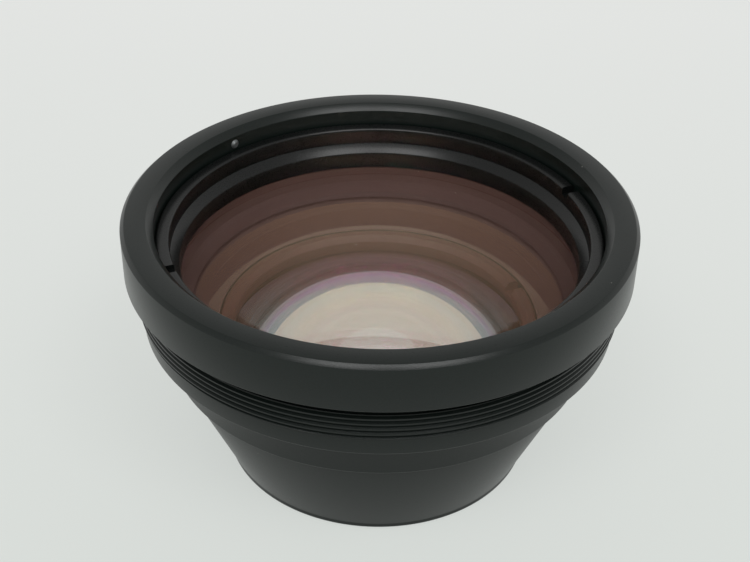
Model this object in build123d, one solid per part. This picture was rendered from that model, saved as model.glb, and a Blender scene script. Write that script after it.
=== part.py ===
from build123d import *
import os
from math import cos, radians, sin, sqrt

# F-theta scan lens for a laser scan head, standing on its entrance end with the output end up.
# Millimetres. +Z is the optical axis towards the output end, and the origin is the centre of the
# foot of the entrance cone. Every turned piece is one revolved profile; radii are named r, heights z.

# Housing outside, from the top face down; every large radius follows from the mount thread's
thread_radius = 42.5           # M85 x 1 mount thread, crest radius
thread_pitch = 1.0
flange_overhang = 2.0          # flange outside the thread
flange_height = 8.8
flange_top_chamfer = 0.7
flange_foot_chamfer = 0.3
relief_width = 2.3             # run-out groove between the flange and the mount thread
relief_depth = 0.76            # under the thread's crests
thread_length = 5.0
thread_lead_chamfer = 0.4
thread_depth_share = 0.6134    # depth of an ISO metric external thread over its pitch
collar_clearance = 0.05        # pilot collar under the thread roots, so a port thread passes over it
collar_length = 3.3
collar_chamfer = 0.3
waist_wall = 1.65              # plain cylinder round the exit lens, between the collar and the cone
waist_chamfer = 0.25
cone_shoulder_step = 0.75      # the cone starts this much inside the waist
foot_radius = 28.15
foot_height = 1.2
foot_chamfer = 0.5

# The stack of lenses and rings, from the foot up; it gives the total height.
# Curvature radii of the lens faces: positive bulges up, negative bulges down.
entrance_seat_height = 4.53
entrance_flare = 3.0           # chamfer of the opening in the foot
entrance_seat_width = 1.8
entrance_lens_radius = 23.4
entrance_edge_thickness = 4.2
entrance_bottom_curve = 650.0
entrance_top_curve = 55.7
entrance_ring_step = 1.6       # bore of the ring outside the lens
entrance_ring_overlap = 1.5    # ring over the lens
entrance_ring_thickness = 2.4
entrance_air_space = 0.5       # on the axis, from the entrance lens to the middle lens
funnel_ledge = 0.2             # flat round the entrance ring, at the foot of the funnel

middle_seat_width = 2.2
middle_lens_radius = 27.6
middle_edge_thickness = 4.28
middle_bottom_curve = 1500.0
middle_top_curve = 52.0
middle_ring_overlap = 2.5
middle_ring_thickness = 2.4
middle_ring_lip = 0.8

spigot_height = 3.44
spigot_step = 3.2              # spigot inside the waist
spigot_end_gap = 0.2
web_height = 1.49              # barrel between the spigot and the exit seat
wall_ledge = 0.35              # flat round the middle ring, at the foot of the conical wall

exit_air_space = 4.92          # on the axis, from the middle lens to the exit lens
exit_seat_width = 2.0
exit_edge_thickness = 9.95
exit_bottom_curve = 147.0
exit_top_curve = 130.0
exit_ring_overlap = 1.05
exit_glass_depth = 11.7        # from the top face to the glass at the edge of the clear aperture

# Mouth and the rings in it
mouth_wall = 2.79              # between the relief groove and the mouth
mouth_chamfer = 1.2
mouth_step = 2.95              # exit lens inside the mouth
lock_ring_depth = 3.85         # from the top face to the lock ring
lock_ring_thickness = 3.05
lock_ring_width = 2.5
spanner_slot_width = 2.2
spanner_slot_depth = 1.4
spanner_slot_angle = 22.0
pressure_ring_gap = 0.2        # metal to glass; the O-ring fills it
ring_edge_chamfer = 0.45       # outer top edge of each threaded ring
ring_lip = 0.25                # inner top edge of the lock and entrance rings
o_ring_section = 0.8           # diameter of every O-ring's section
set_screw_radius = 1.0         # M2 grub screw whose tip keeps the lock ring from backing out
set_screw_tip = 0.4            # how far the tip stands into the mouth
set_screw_recess = 1.75        # how far its outer end lies under the flange's rim
set_screw_point = 0.5          # chamfer of the tip
set_screw_socket = 0.9         # hexagon across flats
set_screw_socket_depth = 1.4
set_screw_rise = 0.1           # screw above the lock ring
set_screw_angle = 135.5

# Fits
lens_clearance = 0.05          # radial, between a lens and its bore
ring_clearance = 0.05          # radial, in the fine thread of a ring, a screw or the spigot
seat_gap = 0.02                # between a piece and what it is pressed on
ring_run_out = 0.3             # bore below a ring's foot

# Radii worked out from the above
flange_radius = thread_radius + flange_overhang
relief_radius = thread_radius - relief_depth
mouth_radius = relief_radius - mouth_wall
exit_lens_radius = mouth_radius - mouth_step
entrance_aperture_radius = entrance_lens_radius - entrance_seat_width
entrance_bore = entrance_lens_radius + lens_clearance
entrance_ring_radius = entrance_lens_radius + entrance_ring_step
entrance_ring_bore_radius = entrance_lens_radius - entrance_ring_overlap
middle_seat_radius = middle_lens_radius - middle_seat_width
middle_bore = middle_lens_radius + lens_clearance
middle_ring_bore_radius = middle_lens_radius - middle_ring_overlap
exit_seat_radius = exit_lens_radius - exit_seat_width
exit_bore = exit_lens_radius + lens_clearance
clear_radius = exit_lens_radius - exit_ring_overlap
lock_ring_bore_radius = mouth_radius - lock_ring_width
waist_radius = exit_bore + waist_wall
spigot_radius = waist_radius - spigot_step
cone_top_radius = waist_radius - cone_shoulder_step
wall_foot_radius = middle_bore + wall_ledge
thread_depth = thread_depth_share * thread_pitch
root_radius = thread_radius - thread_depth
collar_radius = root_radius - collar_clearance
o_ring_radius = o_ring_section / 2
groove_width = o_ring_section + 2 * seat_gap


def sag(curve, r):
    """Rise of a spherical face from radius r to its pole; a curve below zero bulges down."""
    return (abs(curve) - sqrt(curve * curve - r * r)) * (1 if curve > 0 else -1)


def face_z(curve, edge_radius, edge_z, r):
    """Height at radius r of a spherical face that passes through (edge_radius, edge_z)."""
    return edge_z + sag(curve, edge_radius) - sag(curve, r)


def sphere_z(curve, edge_radius, edge_z):
    """Height of the centre of that face's sphere."""
    return face_z(curve, edge_radius, edge_z, 0) - curve


def seat_drop(curve, lens_radius, seat_radius):
    """How far a lens's lower edge stands above the seat, whose inner corner carries a face that bulges down."""
    return seat_gap + max(0, sag(curve, seat_radius) - sag(curve, lens_radius))


def ring_foot(curve, lens_radius, rim_z, bore_radius):
    """Height of a ring that presses on a lens's rim, or on its top face where that stands higher."""
    return max(rim_z, face_z(curve, lens_radius, rim_z, bore_radius)) + seat_gap


# Heights, from the foot up
entrance_foot_z = entrance_seat_height + seat_drop(
    entrance_bottom_curve, entrance_lens_radius, entrance_aperture_radius
)
entrance_rim_z = entrance_foot_z + entrance_edge_thickness
entrance_ring_foot_z = ring_foot(
    entrance_top_curve, entrance_lens_radius, entrance_rim_z, entrance_ring_bore_radius
)
entrance_ring_top_z = entrance_ring_foot_z + entrance_ring_thickness

entrance_pole_z = entrance_rim_z + sag(entrance_top_curve, entrance_lens_radius)
middle_foot_z = entrance_pole_z + entrance_air_space - sag(middle_bottom_curve, middle_lens_radius)
middle_seat_z = middle_foot_z - seat_drop(middle_bottom_curve, middle_lens_radius, middle_seat_radius)
middle_rim_z = middle_foot_z + middle_edge_thickness
middle_ring_foot_z = ring_foot(middle_top_curve, middle_lens_radius, middle_rim_z, middle_ring_bore_radius)
middle_ring_top_z = middle_ring_foot_z + middle_ring_thickness

middle_pole_z = middle_rim_z + sag(middle_top_curve, middle_lens_radius)
exit_foot_z = middle_pole_z + exit_air_space - sag(exit_bottom_curve, exit_lens_radius)
exit_seat_z = exit_foot_z - seat_drop(exit_bottom_curve, exit_lens_radius, exit_seat_radius)
spigot_stop_z = exit_seat_z - web_height
spigot_top_z = spigot_stop_z - spigot_end_gap
joint_z = spigot_top_z - spigot_height

exit_rim_z = exit_foot_z + exit_edge_thickness
exit_glass_z = face_z(exit_top_curve, exit_lens_radius, exit_rim_z, clear_radius)
pressure_ring_foot_z = max(exit_glass_z, exit_rim_z) + pressure_ring_gap
total_height = exit_glass_z + exit_glass_depth

# Heights, from the top face down
flange_foot_z = total_height - flange_height
thread_top_z = flange_foot_z - relief_width
thread_foot_z = thread_top_z - thread_length
collar_foot_z = thread_foot_z - collar_length
lock_ring_top_z = total_height - lock_ring_depth
lock_ring_foot_z = lock_ring_top_z - lock_ring_thickness
pressure_ring_top_z = lock_ring_foot_z - seat_gap

# O-rings: one on the exit lens, one under the entrance lens, one round the spigot
exit_o_ring_radius = exit_lens_radius - o_ring_radius + ring_clearance
exit_reach = exit_top_curve + o_ring_radius + seat_gap
exit_centre_z = sphere_z(exit_top_curve, exit_lens_radius, exit_rim_z)
exit_o_ring_z = exit_centre_z + sqrt(exit_reach ** 2 - exit_o_ring_radius ** 2)

entrance_o_ring_radius = (entrance_aperture_radius + entrance_lens_radius) / 2
entrance_reach = entrance_bottom_curve - o_ring_radius - seat_gap
entrance_centre_z = sphere_z(entrance_bottom_curve, entrance_lens_radius, entrance_foot_z)
entrance_o_ring_z = entrance_centre_z + sqrt(entrance_reach ** 2 - entrance_o_ring_radius ** 2)

joint_o_ring_radius = spigot_radius - o_ring_radius - seat_gap
joint_o_ring_z = (joint_z + spigot_top_z) / 2

screw_z = lock_ring_top_z + set_screw_radius + set_screw_rise
screw_tip_radius = mouth_radius - set_screw_tip
screw_length = flange_radius - set_screw_recess - screw_tip_radius
screw_direction = Vector(cos(radians(set_screw_angle)), sin(radians(set_screw_angle)), 0)


def wall_radius(z):
    """Radius of the conical wall that opens from the middle ring to the exit lens."""
    share = (z - middle_ring_top_z) / (exit_seat_z - middle_ring_top_z)
    return wall_foot_radius + share * (exit_seat_radius - wall_foot_radius)


def turned(*corners):
    """A turned piece from the (r, z) corners of its half section."""
    outline = Polyline(*corners, close=True)
    return revolve(make_face(Plane.XZ * outline), axis=Axis.Z)


def lens(radius, foot_z, rim_z, bottom_curve, top_curve):
    """A round lens: two spherical faces and a cylindrical edge from foot_z to rim_z."""
    bottom = [(r, face_z(bottom_curve, radius, foot_z, r)) for r in (0, radius / 2, radius)]
    top = [(r, face_z(top_curve, radius, rim_z, r)) for r in (radius, radius / 2, 0)]
    outline = [
        ThreePointArc(*bottom),
        Line(bottom[-1], top[0]),
        ThreePointArc(*top),
        Line(top[-1], bottom[0]),
    ]
    return revolve(make_face(Plane.XZ * Curve(outline)), axis=Axis.Z)


def o_ring(ring_radius, z):
    """A rubber ring of round section, lying flat at height z."""
    return Pos(0, 0, z) * Torus(ring_radius, o_ring_radius)


def threaded_ring(outer_radius, bore_radius, foot_z, top_z, lip):
    """A retaining ring with chamfered top edges, the inner one lip wide, and two spanner slots."""
    r = outer_radius - ring_clearance
    ring = turned(
        (bore_radius, foot_z),
        (r, foot_z),
        (r, top_z - ring_edge_chamfer),
        (r - ring_edge_chamfer, top_z),
        (bore_radius + lip, top_z),
        (bore_radius, top_z - lip),
    )
    slot = Box(2 * outer_radius, spanner_slot_width, 2 * spanner_slot_depth)
    return ring - Pos(0, 0, top_z) * Rot(0, 0, spanner_slot_angle) * slot


def screw_plane(radius):
    """A plane across the grub screw's axis at this distance from the optical axis, facing outwards."""
    origin = screw_direction * radius + Vector(0, 0, screw_z)
    return Plane(origin, z_dir=screw_direction)


def main_barrel():
    """Flange, M85 seat, collar and waist in one turning, with the exit lens bore inside."""
    body = turned(
        (mouth_radius + mouth_chamfer, total_height),
        (flange_radius - flange_top_chamfer, total_height),
        (flange_radius, total_height - flange_top_chamfer),
        (flange_radius, flange_foot_z + flange_foot_chamfer),
        (flange_radius - flange_foot_chamfer, flange_foot_z),
        (relief_radius, flange_foot_z),
        (relief_radius, thread_top_z),
        (thread_radius - thread_lead_chamfer, thread_top_z),
        (thread_radius, thread_top_z - thread_lead_chamfer),
        (thread_radius, thread_foot_z + thread_depth),
        (collar_radius, thread_foot_z),
        (collar_radius, collar_foot_z + collar_chamfer),
        (collar_radius - collar_chamfer, collar_foot_z),
        (waist_radius, collar_foot_z),
        (waist_radius, joint_z + waist_chamfer),
        (waist_radius - waist_chamfer, joint_z),
        (spigot_radius, joint_z),
        (spigot_radius, spigot_stop_z),
        (wall_radius(spigot_stop_z), spigot_stop_z),
        (exit_seat_radius, exit_seat_z),
        (exit_bore, exit_seat_z),
        (exit_bore, pressure_ring_foot_z - ring_run_out),
        (mouth_radius, pressure_ring_foot_z - ring_run_out),
        (mouth_radius, total_height - mouth_chamfer),
    )
    hole = extrude(
        screw_plane(0) * Circle(set_screw_radius + ring_clearance),
        2 * flange_radius,
    )
    return body - hole


def entrance_cone():
    """The conical nose, with the seats of the middle and entrance lenses and the spigot on top."""
    spigot = spigot_radius - ring_clearance
    body = turned(
        (foot_radius - foot_chamfer, 0),
        (foot_radius, foot_chamfer),
        (foot_radius, foot_height),
        (cone_top_radius, joint_z - seat_gap),
        (spigot, joint_z - seat_gap),
        (spigot, spigot_top_z),
        (wall_radius(spigot_top_z), spigot_top_z),
        (wall_foot_radius, middle_ring_top_z),
        (middle_bore, middle_ring_top_z),
        (middle_bore, middle_seat_z),
        (middle_seat_radius, middle_seat_z),
        (entrance_ring_radius + funnel_ledge, entrance_ring_top_z),
        (entrance_ring_radius, entrance_ring_top_z),
        (entrance_ring_radius, entrance_rim_z - ring_run_out),
        (entrance_bore, entrance_rim_z - ring_run_out),
        (entrance_bore, entrance_seat_height),
        (entrance_aperture_radius, entrance_seat_height),
        (entrance_aperture_radius, entrance_flare),
        (entrance_aperture_radius + entrance_flare, 0),
    )
    joint_groove = turned(
        (joint_o_ring_radius - o_ring_radius - seat_gap, joint_o_ring_z - groove_width / 2),
        (spigot_radius, joint_o_ring_z - groove_width / 2),
        (spigot_radius, joint_o_ring_z + groove_width / 2),
        (joint_o_ring_radius - o_ring_radius - seat_gap, joint_o_ring_z + groove_width / 2),
    )
    seat_groove = turned(
        (entrance_o_ring_radius - groove_width / 2, entrance_o_ring_z - groove_width / 2),
        (entrance_o_ring_radius + groove_width / 2, entrance_o_ring_z - groove_width / 2),
        (entrance_o_ring_radius + groove_width / 2, entrance_foot_z),
        (entrance_o_ring_radius - groove_width / 2, entrance_foot_z),
    )
    return body - joint_groove - seat_groove


def lock_ring():
    """The upper ring in the mouth, screwed down on the pressure ring."""
    return threaded_ring(
        mouth_radius, lock_ring_bore_radius, lock_ring_foot_z, lock_ring_top_z, ring_lip
    )


def pressure_ring():
    """The lower ring in the mouth: a 45 degree chamfer inside, and a step over the O-ring on the glass."""
    r = mouth_radius - ring_clearance
    step_radius = exit_o_ring_radius - groove_width / 2
    step_z = exit_o_ring_z + o_ring_radius + seat_gap
    return turned(
        (clear_radius, pressure_ring_foot_z),
        (step_radius, pressure_ring_foot_z),
        (step_radius, step_z),
        (step_radius + groove_width, step_z),
        (step_radius + groove_width, pressure_ring_foot_z),
        (r, pressure_ring_foot_z),
        (r, pressure_ring_top_z),
        (lock_ring_bore_radius, pressure_ring_top_z),
        (clear_radius, pressure_ring_top_z - (lock_ring_bore_radius - clear_radius)),
    )


def middle_ring():
    """The ring in the spigot that holds the middle lens on its seat."""
    return threaded_ring(
        middle_bore, middle_ring_bore_radius, middle_ring_foot_z, middle_ring_top_z, middle_ring_lip
    )


def entrance_ring():
    """The ring that holds the entrance lens down on its O-ring."""
    return threaded_ring(
        entrance_ring_radius,
        entrance_ring_bore_radius,
        entrance_ring_foot_z,
        entrance_ring_top_z,
        ring_lip,
    )


def exit_lens():
    return lens(exit_lens_radius, exit_foot_z, exit_rim_z, exit_bottom_curve, exit_top_curve)


def middle_lens():
    return lens(
        middle_lens_radius, middle_foot_z, middle_rim_z, middle_bottom_curve, middle_top_curve
    )


def entrance_lens():
    return lens(
        entrance_lens_radius, entrance_foot_z, entrance_rim_z, entrance_bottom_curve, entrance_top_curve
    )


def ring_set_screw():
    """A cone-point grub screw, pointing at the axis, with its hexagon socket facing out."""
    screw = extrude(screw_plane(screw_tip_radius) * Circle(set_screw_radius), screw_length)
    tip = screw.faces().sort_by(lambda f: f.center().dot(screw_direction))[0]
    screw = chamfer(tip.edges(), set_screw_point)
    socket = screw_plane(screw_tip_radius + screw_length) * RegularPolygon(
        set_screw_socket / 2, 6, major_radius=False
    )
    return screw - extrude(socket, -set_screw_socket_depth)


pieces = {
    "main_barrel": main_barrel(),
    "entrance_cone": entrance_cone(),
    "lock_ring": lock_ring(),
    "pressure_ring": pressure_ring(),
    "middle_lens_ring": middle_ring(),
    "entrance_lens_ring": entrance_ring(),
    "exit_lens": exit_lens(),
    "middle_lens": middle_lens(),
    "entrance_lens": entrance_lens(),
    "exit_o_ring": o_ring(exit_o_ring_radius, exit_o_ring_z),
    "entrance_o_ring": o_ring(entrance_o_ring_radius, entrance_o_ring_z),
    "joint_o_ring": o_ring(joint_o_ring_radius, joint_o_ring_z),
    "ring_set_screw": ring_set_screw(),
}

os.makedirs("parts", exist_ok=True)
for name, piece in pieces.items():
    export_step(piece, f"parts/{name}.step")
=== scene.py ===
import math

import bmesh
import bpy
from mathutils import Matrix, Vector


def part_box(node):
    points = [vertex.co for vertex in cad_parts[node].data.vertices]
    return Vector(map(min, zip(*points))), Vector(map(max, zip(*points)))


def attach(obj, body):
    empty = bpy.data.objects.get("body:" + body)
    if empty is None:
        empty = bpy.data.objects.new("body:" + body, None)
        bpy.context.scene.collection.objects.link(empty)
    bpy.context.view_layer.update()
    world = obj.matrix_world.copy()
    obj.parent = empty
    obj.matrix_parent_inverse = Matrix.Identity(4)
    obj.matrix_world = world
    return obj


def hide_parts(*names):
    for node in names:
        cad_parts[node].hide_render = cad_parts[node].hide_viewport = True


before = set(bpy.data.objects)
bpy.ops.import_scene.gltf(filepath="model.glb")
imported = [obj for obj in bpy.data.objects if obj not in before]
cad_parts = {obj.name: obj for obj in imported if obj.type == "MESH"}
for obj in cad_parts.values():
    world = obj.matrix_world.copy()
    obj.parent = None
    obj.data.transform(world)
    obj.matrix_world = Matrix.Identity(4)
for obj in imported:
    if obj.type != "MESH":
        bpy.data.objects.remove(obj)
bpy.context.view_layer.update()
print("frame loaded:", len(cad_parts), "nodes")

mm = 0.001
fullTurn = 2 * math.pi
turnSteps = 256    # faces round each turned piece


def heights(node):
    # foot and top of a CAD node, in mm
    low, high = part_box(node)
    return low.z / mm, high.z / mm


def outerRadius(node):
    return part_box(node)[1].x / mm


def addChain(bm, corners, closed):
    # the half section of a turned piece as wire, from (radius, height) corners in mm
    verts = [bm.verts.new((r * mm, 0, z * mm)) for r, z in corners]
    pairs = list(zip(verts, verts[1:]))
    if closed:
        pairs.append((verts[-1], verts[0]))
    edges = [bm.edges.new(pair) for pair in pairs]
    return verts, edges


def roundCorners(bm, verts, size):
    # breaks the corners of a half section before it is spun
    bmesh.ops.bevel(bm, geom=verts, offset=size * mm, segments=2, profile=0.5,
                    affect="VERTICES", material=-1, clamp_overlap=True)


def everything(bm):
    return bm.verts[:] + bm.edges[:] + bm.faces[:]


def spinRound(bm, rise=0.0):
    # a quarter turn is spun and then doubled twice, which is far quicker than a full spin
    bmesh.ops.spin(bm, geom=bm.verts[:] + bm.edges[:], cent=(0, 0, 0), axis=(0, 0, 1),
                   dvec=(0, 0, rise * mm / turnSteps), angle=fullTurn / 4, steps=turnSteps // 4)
    for share in (4, 2):
        copied = bmesh.ops.duplicate(bm, geom=everything(bm))["geom"]
        moved = [part for part in copied if isinstance(part, bmesh.types.BMVert)]
        bmesh.ops.rotate(bm, verts=moved, cent=(0, 0, 0), matrix=Matrix.Rotation(fullTurn / share, 3, "Z"))
        bmesh.ops.translate(bm, verts=moved, vec=(0, 0, rise * mm / share))
    bmesh.ops.remove_doubles(bm, verts=bm.verts, dist=1e-6)
    bmesh.ops.recalc_face_normals(bm, faces=bm.faces)


def finishPiece(name, bm, node, materials, sharpAngle=30):
    mesh = bpy.data.meshes.new(name)
    bm.to_mesh(mesh)
    bm.free()
    piece = bpy.data.objects.new(name, mesh)
    bpy.context.scene.collection.objects.link(piece)
    mesh.shade_smooth()
    mesh.set_sharp_from_angle(angle=math.radians(sharpAngle))
    for material in materials:
        mesh.materials.append(material)
    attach(piece, "root")
    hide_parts(node)
    return piece


def turnedShape(corners, rounding):
    bm = bmesh.new()
    verts, edges = addChain(bm, corners, closed=True)
    roundCorners(bm, verts, rounding)
    spinRound(bm)
    return bm


def turnedPiece(name, node, corners, material, rounding):
    return finishPiece(name, turnedShape(corners, rounding), node, [material])


def newMaterial(name):
    material = bpy.data.materials.new(name)
    material.use_nodes = True
    nodes = material.node_tree.nodes
    return material, nodes, material.node_tree.links, nodes["Principled BSDF"]


def groupWith(name, inputs, outputs):
    group = bpy.data.node_groups.new(name, "ShaderNodeTree")
    for label, kind in inputs:
        group.interface.new_socket(label, in_out="INPUT", socket_type=kind)
    for label, kind in outputs:
        group.interface.new_socket(label, in_out="OUTPUT", socket_type=kind)
    return group, group.nodes.new("NodeGroupInput"), group.nodes.new("NodeGroupOutput")


def splitTurned(nodes, links, vector):
    # the distance from the axis and the height of a place, in metres
    split = nodes.new("ShaderNodeSeparateXYZ")
    flat = nodes.new("ShaderNodeCombineXYZ")
    radius = nodes.new("ShaderNodeVectorMath")
    radius.operation = "LENGTH"
    links.new(vector, split.inputs[0])
    links.new(split.outputs["X"], flat.inputs["X"])
    links.new(split.outputs["Y"], flat.inputs["Y"])
    links.new(flat.outputs[0], radius.inputs[0])
    return radius.outputs["Value"], split.outputs["Z"]


def placeGroup(nodes, links, place, group, **values):
    node = nodes.new("ShaderNodeGroup")
    node.node_tree = group
    for label, value in values.items():
        node.inputs[label].default_value = value
    links.new(place.outputs["Object"], node.inputs["Vector"])
    return node.outputs


def mixColours(nodes, links, share, first, second):
    # first where the share is 0, second where it is 1; first may be a colour or a socket
    mix = nodes.new("ShaderNodeMix")
    mix.data_type = "RGBA"
    if isinstance(first, tuple):
        mix.inputs["A"].default_value = (*first, 1)
    else:
        links.new(first, mix.inputs["A"])
    mix.inputs["B"].default_value = (*second, 1)
    links.new(share, mix.inputs["Factor"])
    return mix.outputs["Result"]


def mapped(nodes, links, value, low, high):
    # a value from 0 to 1 becomes one from low to high
    node = nodes.new("ShaderNodeMapRange")
    node.inputs["To Min"].default_value = low
    node.inputs["To Max"].default_value = high
    links.new(value, node.inputs["Value"])
    return node.outputs["Result"]


def bumpFrom(nodes, links, height, strength, depth, below=None):
    # depth in mm; below is the normal that this bump lies on
    bump = nodes.new("ShaderNodeBump")
    bump.inputs["Strength"].default_value = strength
    bump.inputs["Distance"].default_value = depth * mm
    links.new(height, bump.inputs["Height"])
    if below:
        links.new(below, bump.inputs["Normal"])
    return bump.outputs["Normal"]


def blastedGrainGroup():
    # the fine pits of a bead-blasted and anodised surface, and the few larger ones, whose lighter colour is a
    # painted glint where they would catch the light
    group, given, result = groupWith(
        "blastedGrain", [("Vector", "NodeSocketVector"), ("Scale", "NodeSocketFloat")],
        [("Height", "NodeSocketFloat"), ("PaintedGlint", "NodeSocketFloat")])
    nodes, links = group.nodes, group.links
    fine = nodes.new("ShaderNodeTexNoise")
    fine.inputs["Detail"].default_value = 1.5
    fine.inputs["Roughness"].default_value = 0.6
    pits = nodes.new("ShaderNodeTexVoronoi")
    ramp = nodes.new("ShaderNodeMapRange")
    ramp.inputs["From Min"].default_value = 0.34
    ramp.inputs["From Max"].default_value = 0.12
    links.new(given.outputs["Vector"], fine.inputs["Vector"])
    links.new(given.outputs["Scale"], fine.inputs["Scale"])
    links.new(given.outputs["Vector"], pits.inputs["Vector"])
    links.new(given.outputs["Scale"], pits.inputs["Scale"])
    links.new(pits.outputs["Distance"], ramp.inputs["Value"])
    links.new(fine.outputs[0], result.inputs["Height"])
    links.new(ramp.outputs["Result"], result.inputs["PaintedGlint"])
    return group


def turnedLinesGroup():
    # the fine rings that a lathe tool leaves, as a noise that changes only with the radius and the height
    group, given, result = groupWith(
        "turnedLines", [("Vector", "NodeSocketVector"), ("Scale", "NodeSocketFloat")],
        [("Height", "NodeSocketFloat")])
    nodes, links = group.nodes, group.links
    radius, height = splitTurned(nodes, links, given.outputs["Vector"])
    place = nodes.new("ShaderNodeCombineXYZ")
    rings = nodes.new("ShaderNodeTexNoise")
    rings.inputs["Detail"].default_value = 2.0
    links.new(radius, place.inputs["X"])
    links.new(height, place.inputs["Y"])
    links.new(place.outputs[0], rings.inputs["Vector"])
    links.new(given.outputs["Scale"], rings.inputs["Scale"])
    links.new(rings.outputs[0], result.inputs["Height"])
    return group


def dustSpecksGroup():
    # a few tiny bits of dust: 1 on a bit, 0 between them
    group, given, result = groupWith(
        "dustSpecks", [("Vector", "NodeSocketVector"), ("Scale", "NodeSocketFloat"), ("Size", "NodeSocketFloat")],
        [("Mask", "NodeSocketFloat")])
    nodes, links = group.nodes, group.links
    bits = nodes.new("ShaderNodeTexVoronoi")
    inside = nodes.new("ShaderNodeMath")
    inside.operation = "LESS_THAN"
    pick = nodes.new("ShaderNodeSeparateColor")
    few = nodes.new("ShaderNodeMath")
    few.operation = "GREATER_THAN"
    few.inputs[1].default_value = 0.72    # about a quarter of the cells hold a bit
    both = nodes.new("ShaderNodeMath")
    both.operation = "MULTIPLY"
    links.new(given.outputs["Vector"], bits.inputs["Vector"])
    links.new(given.outputs["Scale"], bits.inputs["Scale"])
    links.new(bits.outputs["Distance"], inside.inputs[0])
    links.new(given.outputs["Size"], inside.inputs[1])
    links.new(bits.outputs["Color"], pick.inputs[0])
    links.new(pick.outputs[0], few.inputs[0])
    links.new(inside.outputs[0], both.inputs[0])
    links.new(few.outputs[0], both.inputs[1])
    links.new(both.outputs[0], result.inputs["Mask"])
    return group


blastedGrain = blastedGrainGroup()
turnedLines = turnedLinesGroup()
dustSpecks = dustSpecksGroup()


def anodised(name, f):
    # dyed black aluminium: almost no colour of its own, only its gloss shows; where it is given a warm brown, that
    # colour is a painted reflection
    material, nodes, links, shader = newMaterial(name)
    place = nodes.new("ShaderNodeTexCoord")
    grain = placeGroup(nodes, links, place, blastedGrain, Scale=f["grainScale"])
    rings = placeGroup(nodes, links, place, turnedLines, Scale=f["ringScale"])
    dust = placeGroup(nodes, links, place, dustSpecks, Scale=f["dustScale"], Size=f["dustSize"])
    # the larger pits are painted lighter, as painted glints
    colour = mixColours(nodes, links, grain["PaintedGlint"], f["colour"], f["paintedGlintColour"])
    dusted = mixColours(nodes, links, dust["Mask"], colour, f["dustColour"])
    rough = mapped(nodes, links, grain["Height"],
                   f["roughness"] - f["roughnessSpread"], f["roughness"] + f["roughnessSpread"])
    ringed = bumpFrom(nodes, links, rings["Height"], f["ringStrength"], f["ringDepth"])
    bumped = bumpFrom(nodes, links, grain["Height"], f["grainStrength"], f["grainDepth"], below=ringed)
    links.new(dusted, shader.inputs["Base Color"])
    links.new(rough, shader.inputs["Roughness"])
    links.new(bumped, shader.inputs["Normal"])
    shader.inputs["Specular IOR Level"].default_value = f["gloss"]
    return material


def grainy(name, f):
    # rubber, a ground glass edge and plain steel: a mottled colour and a fine uneven surface
    material, nodes, links, shader = newMaterial(name)
    place = nodes.new("ShaderNodeTexCoord")
    grain = placeGroup(nodes, links, place, blastedGrain, Scale=f["scale"])
    colour = mixColours(nodes, links, grain["Height"], f["colour"], f["otherColour"])
    rough = mapped(nodes, links, grain["Height"],
                   f["roughness"] - f["roughnessSpread"], f["roughness"] + f["roughnessSpread"])
    links.new(colour, shader.inputs["Base Color"])
    links.new(rough, shader.inputs["Roughness"])
    links.new(bumpFrom(nodes, links, grain["Height"], f["strength"], f["depth"]), shader.inputs["Normal"])
    shader.inputs["Metallic"].default_value = f["metallic"]
    shader.inputs["Specular IOR Level"].default_value = f["gloss"]
    return material


glassMaking = {"ior": 1.51, "dustScale": 260.0, "dustSize": 0.02, "dustRoughness": 0.5, "veilRoughness": 0.5}


def coatedGlass(name, g):
    # one polished face: its coating shows as a thin film, and rings of tint painted by radius colour the light
    # through it; on the entrance lens's bottom these rings are painted light
    material, nodes, links, shader = newMaterial(name)
    place = nodes.new("ShaderNodeTexCoord")
    radius, height = splitTurned(nodes, links, place.outputs["Object"])
    reach = nodes.new("ShaderNodeMapRange")
    reach.inputs["From Max"].default_value = g["reach"] * mm
    links.new(radius, reach.inputs["Value"])
    ramp = nodes.new("ShaderNodeValToRGB")
    ramp.color_ramp.interpolation = "B_SPLINE" if g["soft"] else "LINEAR"
    marks = ramp.color_ramp.elements
    while len(marks) < len(g["rings"]):
        marks.new(1.0)
    for mark, (ringRadius, colour) in zip(marks, g["rings"]):
        mark.position = ringRadius / g["reach"]
        mark.color = (*colour, 1)
    links.new(reach.outputs["Result"], ramp.inputs[0])
    links.new(ramp.outputs["Color"], shader.inputs["Base Color"])
    dust = placeGroup(nodes, links, place, dustSpecks, Scale=glassMaking["dustScale"], Size=glassMaking["dustSize"])
    links.new(mapped(nodes, links, dust["Mask"], 0.0, glassMaking["dustRoughness"]), shader.inputs["Roughness"])
    shader.inputs["IOR"].default_value = glassMaking["ior"]
    shader.inputs["Transmission Weight"].default_value = 1.0
    shader.inputs["Specular IOR Level"].default_value = g["level"]
    shader.inputs["Specular Tint"].default_value = (*g["cast"], 1)
    filmIor, filmThickness = g["film"]
    shader.inputs["Thin Film IOR"].default_value = filmIor
    shader.inputs["Thin Film Thickness"].default_value = filmThickness
    shader.inputs["Sheen Weight"].default_value = g["veil"]
    shader.inputs["Sheen Roughness"].default_value = glassMaking["veilRoughness"]
    shader.inputs["Sheen Tint"].default_value = (*g["veilColour"], 1)
    return material


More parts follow.
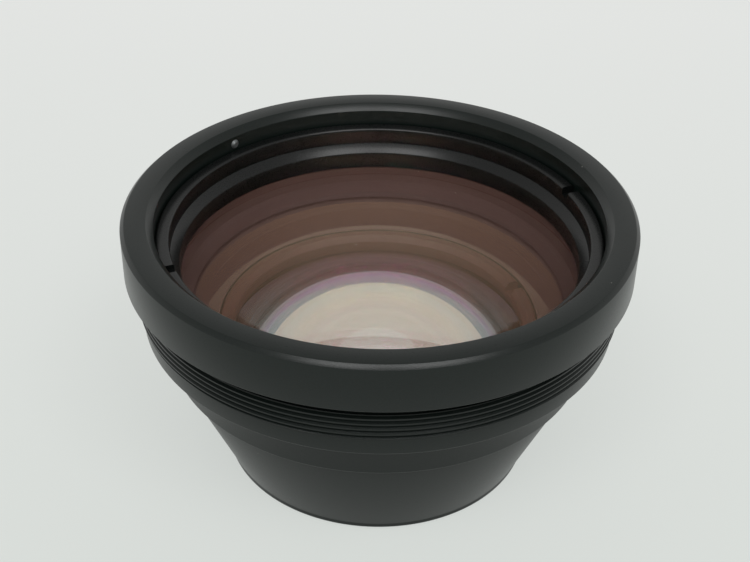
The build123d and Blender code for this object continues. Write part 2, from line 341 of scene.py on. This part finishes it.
housingFinish = {"colour": (0.0030, 0.0062, 0.0050), "paintedGlintColour": (0.010, 0.013, 0.012),
                 "roughness": 0.30, "roughnessSpread": 0.06, "gloss": 0.34,
                 "grainScale": 5200.0, "grainStrength": 0.5, "grainDepth": 0.02,
                 "ringScale": 3000.0, "ringStrength": 0.05, "ringDepth": 0.01,
                 "dustScale": 210.0, "dustSize": 0.025, "dustColour": (0.16, 0.16, 0.15)}
# the inside finish's warm brown is a painted reflection: it stands in for the stray reflections of the coated
# lenses seen over the inner walls
insidePaintedReflectionFinish = dict(housingFinish, colour=(0.115, 0.066, 0.060), paintedGlintColour=(0.14, 0.09, 0.08),
                    roughness=0.60, gloss=0.3, dustColour=(0.15, 0.10, 0.09))
ringFinish = {"colour": (0.0030, 0.0038, 0.0036), "paintedGlintColour": (0.008, 0.009, 0.009),
              "roughness": 0.28, "roughnessSpread": 0.04, "gloss": 0.34,
              "grainScale": 6000.0, "grainStrength": 0.2, "grainDepth": 0.01,
              "ringScale": 2500.0, "ringStrength": 0.3, "ringDepth": 0.02,
              "dustScale": 180.0, "dustSize": 0.025, "dustColour": (0.16, 0.16, 0.15)}
# the deep rings' warm brown is a painted reflection of the coated lenses, seen over the middle and entrance rings
deepRingPaintedReflectionFinish = dict(ringFinish, colour=(0.10, 0.040, 0.034), paintedGlintColour=(0.12, 0.06, 0.05), roughness=0.5,
                      dustColour=(0.15, 0.08, 0.07))
rubber = {"colour": (0.008, 0.008, 0.008), "otherColour": (0.018, 0.018, 0.017), "roughness": 0.6, "gloss": 0.35,
          "roughnessSpread": 0.08, "metallic": 0.0, "scale": 4000.0, "strength": 0.3, "depth": 0.01}
steel = {"colour": (0.10, 0.11, 0.11), "otherColour": (0.20, 0.21, 0.21), "roughness": 0.38, "gloss": 0.5,
         "roughnessSpread": 0.08, "metallic": 0.6, "scale": 6000.0, "strength": 0.3, "depth": 0.01}
# the ground edge's warm brown is a painted reflection of the coated lenses, not the colour of ground glass
ground = {"colour": (0.070, 0.030, 0.024), "otherColour": (0.110, 0.050, 0.042), "roughness": 0.75, "gloss": 0.3,
          "roughnessSpread": 0.08, "metallic": 0.0, "scale": 3500.0, "strength": 0.3, "depth": 0.01}
housingBlack = anodised("housingBlack", housingFinish)
insidePaintedReflection = anodised("insidePaintedReflection", insidePaintedReflectionFinish)
ringBlack = anodised("ringBlack", ringFinish)
deepRingPaintedReflection = anodised("deepRingPaintedReflection", deepRingPaintedReflectionFinish)
rubberBlack = grainy("rubberBlack", rubber)
screwSteel = grainy("screwSteel", steel)
groundEdgePaintedReflection = grainy("groundEdgePaintedReflection", ground)

# film is the coating's IOR and its thickness in nm; rings are (radius in mm, tint), out to the reach
plainFace = {"reach": 36.0, "soft": True, "level": 0.5, "cast": (1.0, 1.0, 1.0), "film": (1.2, 124.0),
             "rings": [(0.0, (1.0, 0.98, 0.95)), (36.0, (1.0, 0.97, 0.94))],
             "veil": 0.0, "veilColour": (1.0, 0.56, 0.45)}
lensFaces = {
    "exit_lens": {
        "top": dict(plainFace, film=(1.2, 124.0), veil=0.25),
        "bottom": dict(plainFace, film=(1.2, 119.0)),
    },
    "middle_lens": {
        "top": dict(plainFace, film=(2.35, 327.0)),
        "bottom": dict(plainFace, film=(1.69, 748.0)),
    },
    "entrance_lens": {
        "top": dict(plainFace, film=(2.35, 674.0)),
        # the entrance lens's bottom rings are painted light: the coloured bands and the darker outer zone stand in
        # for the coating's colours and the dimmer light seen through the lens
        "bottom": dict(plainFace, film=(2.34, 270.0), reach=24.0, soft=False, rings=[
            (0.0, (1.0, 0.98, 0.86)), (12.0, (1.0, 0.97, 0.80)), (13.0, (0.96, 0.86, 0.80)),
            (14.2, (1.0, 0.96, 0.74)), (15.2, (1.0, 0.93, 0.78)), (16.2, (0.80, 0.86, 0.84)),
            (16.9, (0.72, 0.84, 0.82)), (17.3, (0.66, 0.62, 0.62)), (19.2, (0.66, 0.60, 0.60)),
            (19.8, (0.72, 0.40, 0.62)), (20.6, (0.60, 0.56, 0.42)), (24.0, (0.50, 0.44, 0.28))]),
    },
}
glassOf = {node: [coatedGlass(node + "_" + side, faces[side]) for side in ("top", "bottom")]
           for node, faces in lensFaces.items()}
print("materials made")


barrel = {
    "flangeRadius": 44.5, "flangeHeight": 8.8, "topChamfer": 0.7, "footChamfer": 0.3,
    "reliefRadius": 41.74, "reliefWidth": 2.3,
    "threadRadius": 42.5, "threadLength": 5.0, "threadPitch": 1.0, "threadDepth": 0.45,
    "crestFlat": 0.27, "crestAtFront": 37.0, "leadChamfer": 0.4, "runOut": 0.6,
    "collarRadius": 41.84, "collarLength": 3.3, "collarChamfer": 0.3,
    "waistRadius": 37.7, "waistChamfer": 0.25,
    "spigotRadius": 34.5, "spigotDepth": 3.64, "lensBore": 36.05, "boreRunOut": 0.3,
    "mouthRadius": 38.95, "mouthChamfer": 1.2,
    "seatGap": 0.02, "edgeRounding": 0.06,
}
wall = {"footRadius": 28.0, "topRadius": 34.0, "paintDepth": 2.5, "facingIn": 0.2}


def exitSeat():
    return heights("exit_lens")[0] - barrel["seatGap"]


def wallRadius(z):
    # the conical wall that opens from the middle ring to the exit lens's seat
    foot = heights("middle_lens_ring")[1]
    share = (z - foot) / (exitSeat() - foot)
    return wall["footRadius"] + share * (wall["topRadius"] - wall["footRadius"])


def paintInsideReflection(bm, footZ, topZ):
    # the conical wall under the exit lens is dull and painted a warm brown, a painted reflection of the coatings'
    # stray light, with the bore and the ledges next to it;
    # the collar's underside falls inside the same limit and is painted too, though it should be left black
    footWall, topWall = wallRadius(footZ), wallRadius(topZ)
    for face in bm.faces:
        centre = face.calc_center_median() / mm
        if not footZ < centre.z < topZ:
            continue
        r = math.hypot(centre.x, centre.y)
        limit = footWall + (centre.z - footZ) / (topZ - footZ) * (topWall - footWall) + wall["paintDepth"]
        inward = face.normal.x * centre.x + face.normal.y * centre.y < wall["facingIn"] * r
        if r < limit and inward:
            face.material_index = 1


def threadSurface(b, footZ, topZ):
    # the helix runs past both ends and is cut square, then its crests are turned down at both ends
    pitch = b["threadPitch"]
    crest = b["threadRadius"]
    root = crest - b["threadDepth"]
    flank = b["threadDepth"] * math.tan(math.radians(30))
    rootFlat = pitch - b["crestFlat"] - 2 * flank
    crestMiddle = rootFlat + flank + b["crestFlat"] / 2
    frontShare = 0.75    # the front is three quarters of a turn on from the start
    startZ = b["crestAtFront"] - frontShare * pitch - crestMiddle
    while startZ > footZ - 2 * pitch:
        startZ -= pitch
    marks = [(root, 0), (root, rootFlat), (crest, rootFlat + flank),
             (crest, rootFlat + flank + b["crestFlat"]), (root, pitch)]
    bm = bmesh.new()
    verts, edges = addChain(bm, [(r, startZ + z) for r, z in marks], closed=False)
    bmesh.ops.subdivide_edges(bm, edges=[edges[1], edges[3]], cuts=4)
    spinRound(bm, rise=pitch)
    oneTurn = everything(bm)
    for turn in range(1, math.ceil((topZ - startZ) / pitch) + 1):
        copied = bmesh.ops.duplicate(bm, geom=oneTurn)["geom"]
        moved = [part for part in copied if isinstance(part, bmesh.types.BMVert)]
        bmesh.ops.translate(bm, verts=moved, vec=(0, 0, turn * pitch * mm))
    bmesh.ops.remove_doubles(bm, verts=bm.verts, dist=1e-6)
    for level, above, below in ((topZ, True, False), (footZ, False, True),
                                (topZ - b["leadChamfer"], False, False), (footZ + b["runOut"], False, False)):
        bmesh.ops.bisect_plane(bm, geom=everything(bm), plane_co=(0, 0, level * mm), plane_no=(0, 0, 1),
                               clear_outer=above, clear_inner=below)
    for v in bm.verts:
        z = v.co.z / mm
        r = math.hypot(v.co.x, v.co.y) / mm
        limit = min(crest, crest - b["leadChamfer"] + topZ - z, crest - b["runOut"] + z - footZ)
        if r > limit:
            v.co.x *= limit / r
            v.co.y *= limit / r
    return bm


def addThread(bm, b, footZ, topZ):
    made = threadSurface(b, footZ, topZ)
    mesh = bpy.data.meshes.new("threadSurface")
    made.to_mesh(mesh)
    made.free()
    bm.from_mesh(mesh)
    bpy.data.meshes.remove(mesh)
    for level in (footZ, topZ):
        rims = [e for e in bm.edges
                if e.is_boundary and all(abs(v.co.z - level * mm) < 1e-6 for v in e.verts)]
        bmesh.ops.bridge_loops(bm, edges=rims)
    bmesh.ops.recalc_face_normals(bm, faces=bm.faces)


def makeBarrel():
    b = barrel
    foot, top = heights("main_barrel")
    flangeFoot = top - b["flangeHeight"]
    threadTop = flangeFoot - b["reliefWidth"]
    threadFoot = threadTop - b["threadLength"]
    collarFoot = threadFoot - b["collarLength"]
    spigotEnd = foot + b["spigotDepth"]
    ringFoot = heights("pressure_ring")[0] - b["boreRunOut"]
    corners = [
        (b["reliefRadius"], threadTop),
        (b["reliefRadius"], flangeFoot),
        (b["flangeRadius"] - b["footChamfer"], flangeFoot),
        (b["flangeRadius"], flangeFoot + b["footChamfer"]),
        (b["flangeRadius"], top - b["topChamfer"]),
        (b["flangeRadius"] - b["topChamfer"], top),
        (b["mouthRadius"] + b["mouthChamfer"], top),
        (b["mouthRadius"], top - b["mouthChamfer"]),
        (b["mouthRadius"], ringFoot),
        (b["lensBore"], ringFoot),
        (b["lensBore"], exitSeat()),
        (wall["topRadius"], exitSeat()),
        (wallRadius(spigotEnd), spigotEnd),
        (b["spigotRadius"], spigotEnd),
        (b["spigotRadius"], foot),
        (b["waistRadius"] - b["waistChamfer"], foot),
        (b["waistRadius"], foot + b["waistChamfer"]),
        (b["waistRadius"], collarFoot),
        (b["collarRadius"] - b["collarChamfer"], collarFoot),
        (b["collarRadius"], collarFoot + b["collarChamfer"]),
        (b["collarRadius"], threadFoot),
    ]
    bm = bmesh.new()
    verts, edges = addChain(bm, corners, closed=False)
    roundCorners(bm, verts[1:-1], b["edgeRounding"])
    spinRound(bm)
    addThread(bm, b, threadFoot, threadTop)
    # the inner walls take the warm brown painted reflection
    paintInsideReflection(bm, foot, ringFoot)
    return finishPiece("barrel", bm, "main_barrel", [housingBlack, insidePaintedReflection])


nose = {
    "footRadius": 28.15, "footHeight": 1.2, "footChamfer": 0.5,
    "topRadius": 36.95, "spigotRadius": 34.45, "spigotHeight": 3.44,
    "middleBore": 27.65, "middleSeat": 14.13, "middleSeatRadius": 25.4,
    "ledgeRadius": 25.2, "ringRadius": 25.0, "ringRunOut": 3.39, "entranceBore": 23.45,
    "entranceSeat": 4.53, "aperture": 21.6, "flare": 3.0, "sealGap": 0.02, "edgeRounding": 0.06,
}


def sealSpace(node, gap):
    # the groove round a rubber ring
    foot, top = heights(node)
    outer = outerRadius(node)
    return {"foot": foot - gap, "top": top + gap, "outer": outer + gap, "inner": outer - (top - foot) - gap}


def makeNose():
    n = nose
    foot, top = heights("entrance_cone")
    ledge = heights("entrance_lens_ring")[1]
    wallFoot = heights("middle_lens_ring")[1]
    jointSeal = sealSpace("joint_o_ring", n["sealGap"])
    seatSeal = sealSpace("entrance_o_ring", n["sealGap"])
    corners = [
        (n["footRadius"] - n["footChamfer"], foot),
        (n["footRadius"], foot + n["footChamfer"]),
        (n["footRadius"], foot + n["footHeight"]),
        (n["topRadius"], top - n["spigotHeight"]),
        (n["spigotRadius"], top - n["spigotHeight"]),
        (n["spigotRadius"], jointSeal["foot"]),
        (jointSeal["inner"], jointSeal["foot"]),
        (jointSeal["inner"], jointSeal["top"]),
        (n["spigotRadius"], jointSeal["top"]),
        (n["spigotRadius"], top),
        (wallRadius(top), top),
        (wall["footRadius"], wallFoot),
        (n["middleBore"], wallFoot),
        (n["middleBore"], n["middleSeat"]),
        (n["middleSeatRadius"], n["middleSeat"]),
        (n["ledgeRadius"], ledge),
        (n["ringRadius"], ledge),
        (n["ringRadius"], ledge - n["ringRunOut"]),
        (n["entranceBore"], ledge - n["ringRunOut"]),
        (n["entranceBore"], n["entranceSeat"]),
        (seatSeal["outer"], n["entranceSeat"]),
        (seatSeal["outer"], seatSeal["foot"]),
        (seatSeal["inner"], seatSeal["foot"]),
        (seatSeal["inner"], n["entranceSeat"]),
        (n["aperture"], n["entranceSeat"]),
        (n["aperture"], foot + n["flare"]),
        (n["aperture"] + n["flare"], foot),
    ]
    bm = turnedShape(corners, n["edgeRounding"])
    # the inner walls take the warm brown painted reflection
    paintInsideReflection(bm, n["entranceSeat"], top + 1)
    return finishPiece("noseCone", bm, "entrance_cone", [housingBlack, insidePaintedReflection])


ringSizes = {
    "lock_ring": {"bore": 36.45, "lip": 0.25},
    "middle_lens_ring": {"bore": 25.1, "lip": 0.8},
    "entrance_lens_ring": {"bore": 21.9, "lip": 0.25},
}
spanner = {"width": 2.2, "depth": 1.4, "angle": 22.0, "edgeChamfer": 0.45, "edgeRounding": 0.05}


def makeThreadedRing(name, node):
    # a retaining ring with chamfered top edges and two slots for a pin spanner
    size = ringSizes[node]
    foot, top = heights(node)
    rim = outerRadius(node)
    corners = [
        (size["bore"], foot),
        (rim, foot),
        (rim, top - spanner["edgeChamfer"]),
        (rim - spanner["edgeChamfer"], top),
        (size["bore"] + size["lip"], top),
        (size["bore"], top - size["lip"]),
    ]
    # the middle and entrance rings take the brown painted reflection
    finish = ringBlack if node == "lock_ring" else deepRingPaintedReflection
    ring = turnedPiece(name, node, corners, finish, spanner["edgeRounding"])
    cutSlots(ring, rim, top)
    return ring


def cutSlots(ring, rim, top):
    bm = bmesh.new()
    turn = Matrix.Rotation(math.radians(spanner["angle"]), 4, "Z")
    size = Matrix.Diagonal((2.2 * rim * mm, spanner["width"] * mm, 2 * spanner["depth"] * mm, 1))
    bmesh.ops.create_cube(bm, size=1, matrix=Matrix.Translation((0, 0, top * mm)) @ turn @ size)
    mesh = bpy.data.meshes.new("slotCutter")
    bm.to_mesh(mesh)
    bm.free()
    cutter = bpy.data.objects.new("slotCutter", mesh)
    bpy.context.scene.collection.objects.link(cutter)
    cut = ring.modifiers.new("slots", "BOOLEAN")
    cut.operation = "DIFFERENCE"
    cut.solver = "EXACT"
    cut.object = cutter
    view = bpy.context.evaluated_depsgraph_get()
    done = bpy.data.meshes.new_from_object(ring.evaluated_get(view))
    ring.modifiers.clear()
    ring.data = done
    bpy.data.objects.remove(cutter)


clamp = {"bore": 34.95, "lip": 1.5, "sealGap": 0.02, "edgeRounding": 0.06}


def makePressureRing():
    c = clamp
    foot, top = heights("pressure_ring")
    rim = outerRadius("pressure_ring")
    seal = sealSpace("exit_o_ring", c["sealGap"])
    corners = [
        (c["bore"], foot),
        (seal["inner"], foot),
        (seal["inner"], seal["top"]),
        (seal["outer"], seal["top"]),
        (seal["outer"], foot),
        (rim, foot),
        (rim, top),
        (c["bore"] + c["lip"], top),
        (c["bore"], top - c["lip"]),
    ]
    return turnedPiece("pressureRing", "pressure_ring", corners, ringBlack, c["edgeRounding"])


lensSizes = {
    "exit_lens": {"radius": 36.0, "bottomCurve": 147.0, "topCurve": 130.0},
    "middle_lens": {"radius": 27.6, "bottomCurve": 1500.0, "topCurve": 52.0},
    "entrance_lens": {"radius": 23.4, "bottomCurve": 650.0, "topCurve": 55.7},
}
lensMaking = {"edgeChamfer": 0.3, "arcSteps": 40, "groundReach": 1.5, "levelFace": 0.95}


def spinArc(bm, poleZ, curve, radius):
    # one spherical face in half section, from its pole out to the given radius
    pole = bm.verts.new((0, 0, poleZ * mm))
    bmesh.ops.spin(bm, geom=[pole], cent=(0, 0, (poleZ - curve) * mm), axis=(0, 1, 0), dvec=(0, 0, 0),
                   angle=math.asin(radius / curve), steps=lensMaking["arcSteps"])
    return max(bm.verts, key=lambda v: (abs(v.co.x - radius * mm) < 1e-7, v.index))


def sag(curve, r):
    return (abs(curve) - math.sqrt(curve * curve - r * r)) * (1 if curve > 0 else -1)


def makeLens(name, node):
    size = lensSizes[node]
    foot, top = heights(node)
    radius = size["radius"]
    chamfer = lensMaking["edgeChamfer"]
    bottomPole = foot if size["bottomCurve"] < 0 else foot + sag(size["bottomCurve"], radius)
    topPole = top if size["topCurve"] > 0 else top + sag(size["topCurve"], radius)
    footZ = bottomPole - sag(size["bottomCurve"], radius)
    rimZ = topPole - sag(size["topCurve"], radius)
    bm = bmesh.new()
    bottomEnd = spinArc(bm, bottomPole, size["bottomCurve"], radius - chamfer)
    bm.verts.index_update()
    topEnd = spinArc(bm, topPole, size["topCurve"], radius - chamfer)
    edgeLow = bm.verts.new((radius * mm, 0, (footZ + chamfer) * mm))
    edgeHigh = bm.verts.new((radius * mm, 0, (rimZ - chamfer) * mm))
    for pair in ((bottomEnd, edgeLow), (edgeLow, edgeHigh), (edgeHigh, topEnd)):
        bm.edges.new(pair)
    spinRound(bm)
    groundLimit = (radius - lensMaking["groundReach"] * chamfer) * mm
    for face in bm.faces:
        outside = math.hypot(*face.calc_center_median().xy) > groundLimit
        isGround = outside and abs(face.normal.z) < lensMaking["levelFace"]
        # the ground faces take the ground edge's brown painted reflection
        face.material_index = 2 if isGround else int(face.normal.z < 0)    # 0 is the top face, 1 the bottom one
    return finishPiece(name, bm, node, glassOf[node] + [groundEdgePaintedReflection])


def makeRubberRing(name, node):
    foot, top = heights(node)
    section = (top - foot) / 2
    bm = bmesh.new()
    place = Matrix.Translation(((outerRadius(node) - section) * mm, 0, (foot + top) / 2 * mm))
    bmesh.ops.create_circle(bm, segments=16, radius=section * mm, cap_ends=False,
                            matrix=place @ Matrix.Rotation(math.radians(90), 4, "X"))
    spinRound(bm)
    return finishPiece(name, bm, node, [rubberBlack], sharpAngle=80)


makeBarrel()
makeNose()
print("housing made")
makeThreadedRing("lockRing", "lock_ring")
makePressureRing()
makeThreadedRing("middleLensRing", "middle_lens_ring")
makeThreadedRing("entranceLensRing", "entrance_lens_ring")
for name, node in (("exitSeal", "exit_o_ring"), ("entranceSeal", "entrance_o_ring"), ("jointSeal", "joint_o_ring")):
    makeRubberRing(name, node)
print("rings made")
makeLens("exitLens", "exit_lens")
makeLens("middleLens", "middle_lens")
makeLens("entranceLens", "entrance_lens")
print("lenses made")
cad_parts["ring_set_screw"].data.materials.clear()
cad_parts["ring_set_screw"].data.materials.append(screwSteel)


# the floor's glow is painted darker near the front and lighter towards the back, a painted falloff of the light
stage = {"floorSize": 3.0, "floorColour": (0.80, 0.82, 0.79), "seenShare": 0.7,
         "nearPaintedShadeColour": (0.715, 0.755, 0.725), "farPaintedLightColour": (0.86, 0.875, 0.86), "nearY": -0.06, "farY": 0.20,
         "worldColour": (1.0, 1.0, 0.985), "worldStrength": 0.62, "worldSeenStrength": 0.90,
         "highShare": 0.62, "highAt": 0.75}


def seenDirectly(nodes, links):
    # 1 for what the camera, a gloss or the glass shows, and 0 for light that falls on the object
    path = nodes.new("ShaderNodeLightPath")
    value = path.outputs["Is Camera Ray"]
    for ray in ("Is Glossy Ray", "Is Transmission Ray"):
        either = nodes.new("ShaderNodeMath")
        either.operation = "MAXIMUM"
        links.new(value, either.inputs[0])
        links.new(path.outputs[ray], either.inputs[1])
        value = either.outputs[0]
    return value


def makeFloor():
    bm = bmesh.new()
    bmesh.ops.create_grid(bm, x_segments=1, y_segments=1, size=stage["floorSize"])
    mesh = bpy.data.meshes.new("floor")
    bm.to_mesh(mesh)
    bm.free()
    floor = bpy.data.objects.new("floor", mesh)
    bpy.context.scene.collection.objects.link(floor)
    material, nodes, links, shader = newMaterial("paleTable")
    shader.inputs["Base Color"].default_value = (*stage["floorColour"], 1)
    shader.inputs["Roughness"].default_value = 0.9
    glow = nodes.new("ShaderNodeEmission")
    place = nodes.new("ShaderNodeTexCoord")
    split = nodes.new("ShaderNodeSeparateXYZ")
    # painted falloff of the light: darker towards the front of the floor
    depth = nodes.new("ShaderNodeMapRange")
    depth.inputs["From Min"].default_value = stage["nearY"]
    depth.inputs["From Max"].default_value = stage["farY"]
    shade = nodes.new("ShaderNodeMix")
    shade.data_type = "RGBA"
    shade.inputs["A"].default_value = (*stage["nearPaintedShadeColour"], 1)
    shade.inputs["B"].default_value = (*stage["farPaintedLightColour"], 1)
    links.new(place.outputs["Object"], split.inputs[0])
    links.new(split.outputs["Y"], depth.inputs["Value"])
    links.new(depth.outputs["Result"], shade.inputs["Factor"])
    links.new(shade.outputs["Result"], glow.inputs["Color"])
    share = nodes.new("ShaderNodeMath")
    share.operation = "MULTIPLY"
    share.inputs[1].default_value = stage["seenShare"]
    mix = nodes.new("ShaderNodeMixShader")
    links.new(seenDirectly(nodes, links), share.inputs[0])
    links.new(share.outputs[0], mix.inputs[0])
    links.new(shader.outputs[0], mix.inputs[1])
    links.new(glow.outputs[0], mix.inputs[2])
    links.new(mix.outputs[0], nodes["Material Output"].inputs["Surface"])
    mesh.materials.append(material)


def makeWorld():
    world = bpy.data.worlds.new("studio")
    world.use_nodes = True
    nodes, links = world.node_tree.nodes, world.node_tree.links
    background = nodes["Background"]
    background.inputs["Color"].default_value = (*stage["worldColour"], 1)
    strength = nodes.new("ShaderNodeMapRange")
    strength.inputs["To Min"].default_value = stage["worldStrength"]
    strength.inputs["To Max"].default_value = stage["worldSeenStrength"]
    links.new(seenDirectly(nodes, links), strength.inputs["Value"])
    place = nodes.new("ShaderNodeTexCoord")
    split = nodes.new("ShaderNodeSeparateXYZ")
    fade = nodes.new("ShaderNodeMapRange")    # a little dimmer overhead than round the sides
    fade.inputs["From Max"].default_value = stage["highAt"]
    fade.inputs["To Min"].default_value = 1.0
    fade.inputs["To Max"].default_value = stage["highShare"]
    links.new(place.outputs["Generated"], split.inputs[0])
    links.new(split.outputs["Z"], fade.inputs["Value"])
    both = nodes.new("ShaderNodeMath")
    both.operation = "MULTIPLY"
    links.new(strength.outputs["Result"], both.inputs[0])
    links.new(fade.outputs["Result"], both.inputs[1])
    links.new(both.outputs[0], background.inputs["Strength"])
    bpy.context.scene.world = world


def makeLamp(name, azimuth, elevation, distance, size, power):
    # azimuth 0 is the camera's side of the object, positive to its right
    data = bpy.data.lights.new(name, "AREA")
    data.shape = "RECTANGLE"
    data.size, data.size_y = size
    data.energy = power
    lamp = bpy.data.objects.new(name, data)
    bpy.context.scene.collection.objects.link(lamp)
    a, e = math.radians(azimuth), math.radians(elevation)
    lamp.location = (distance * math.sin(a) * math.cos(e), -distance * math.cos(a) * math.cos(e),
                     distance * math.sin(e))
    lamp.rotation_euler = (-lamp.location).to_track_quat("-Z", "Y").to_euler()


cameraPose = {"place": (-0.001115, -0.19796, 0.16850), "pitch": 0.598425, "yaw": 0.002027, "roll": 0.01622,
              "lens": 64.24, "sensor": 36.0}


def makeCamera():
    c = cameraPose
    data = bpy.data.cameras.new("camera")
    data.lens = c["lens"]
    data.sensor_width = c["sensor"]
    data.clip_start = 0.01
    camera = bpy.data.objects.new("camera", data)
    bpy.context.scene.collection.objects.link(camera)
    camera.rotation_mode = "QUATERNION"
    turn = (Matrix.Rotation(-c["yaw"], 3, "Z") @ Matrix.Rotation(math.pi / 2 - c["pitch"], 3, "X")
            @ Matrix.Rotation(c["roll"], 3, "Z"))
    camera.rotation_quaternion = turn.to_quaternion()
    camera.location = c["place"]
    bpy.context.scene.camera = camera


makeFloor()
makeWorld()
makeLamp("keyRight", 29, 55, 0.8, (0.30, 0.30), 1.5)
makeLamp("keyLeft", -18.5, 55, 0.8, (0.30, 0.30), 1.5)
makeCamera()
bpy.context.scene.view_settings.view_transform = "Standard"
print("stage made")
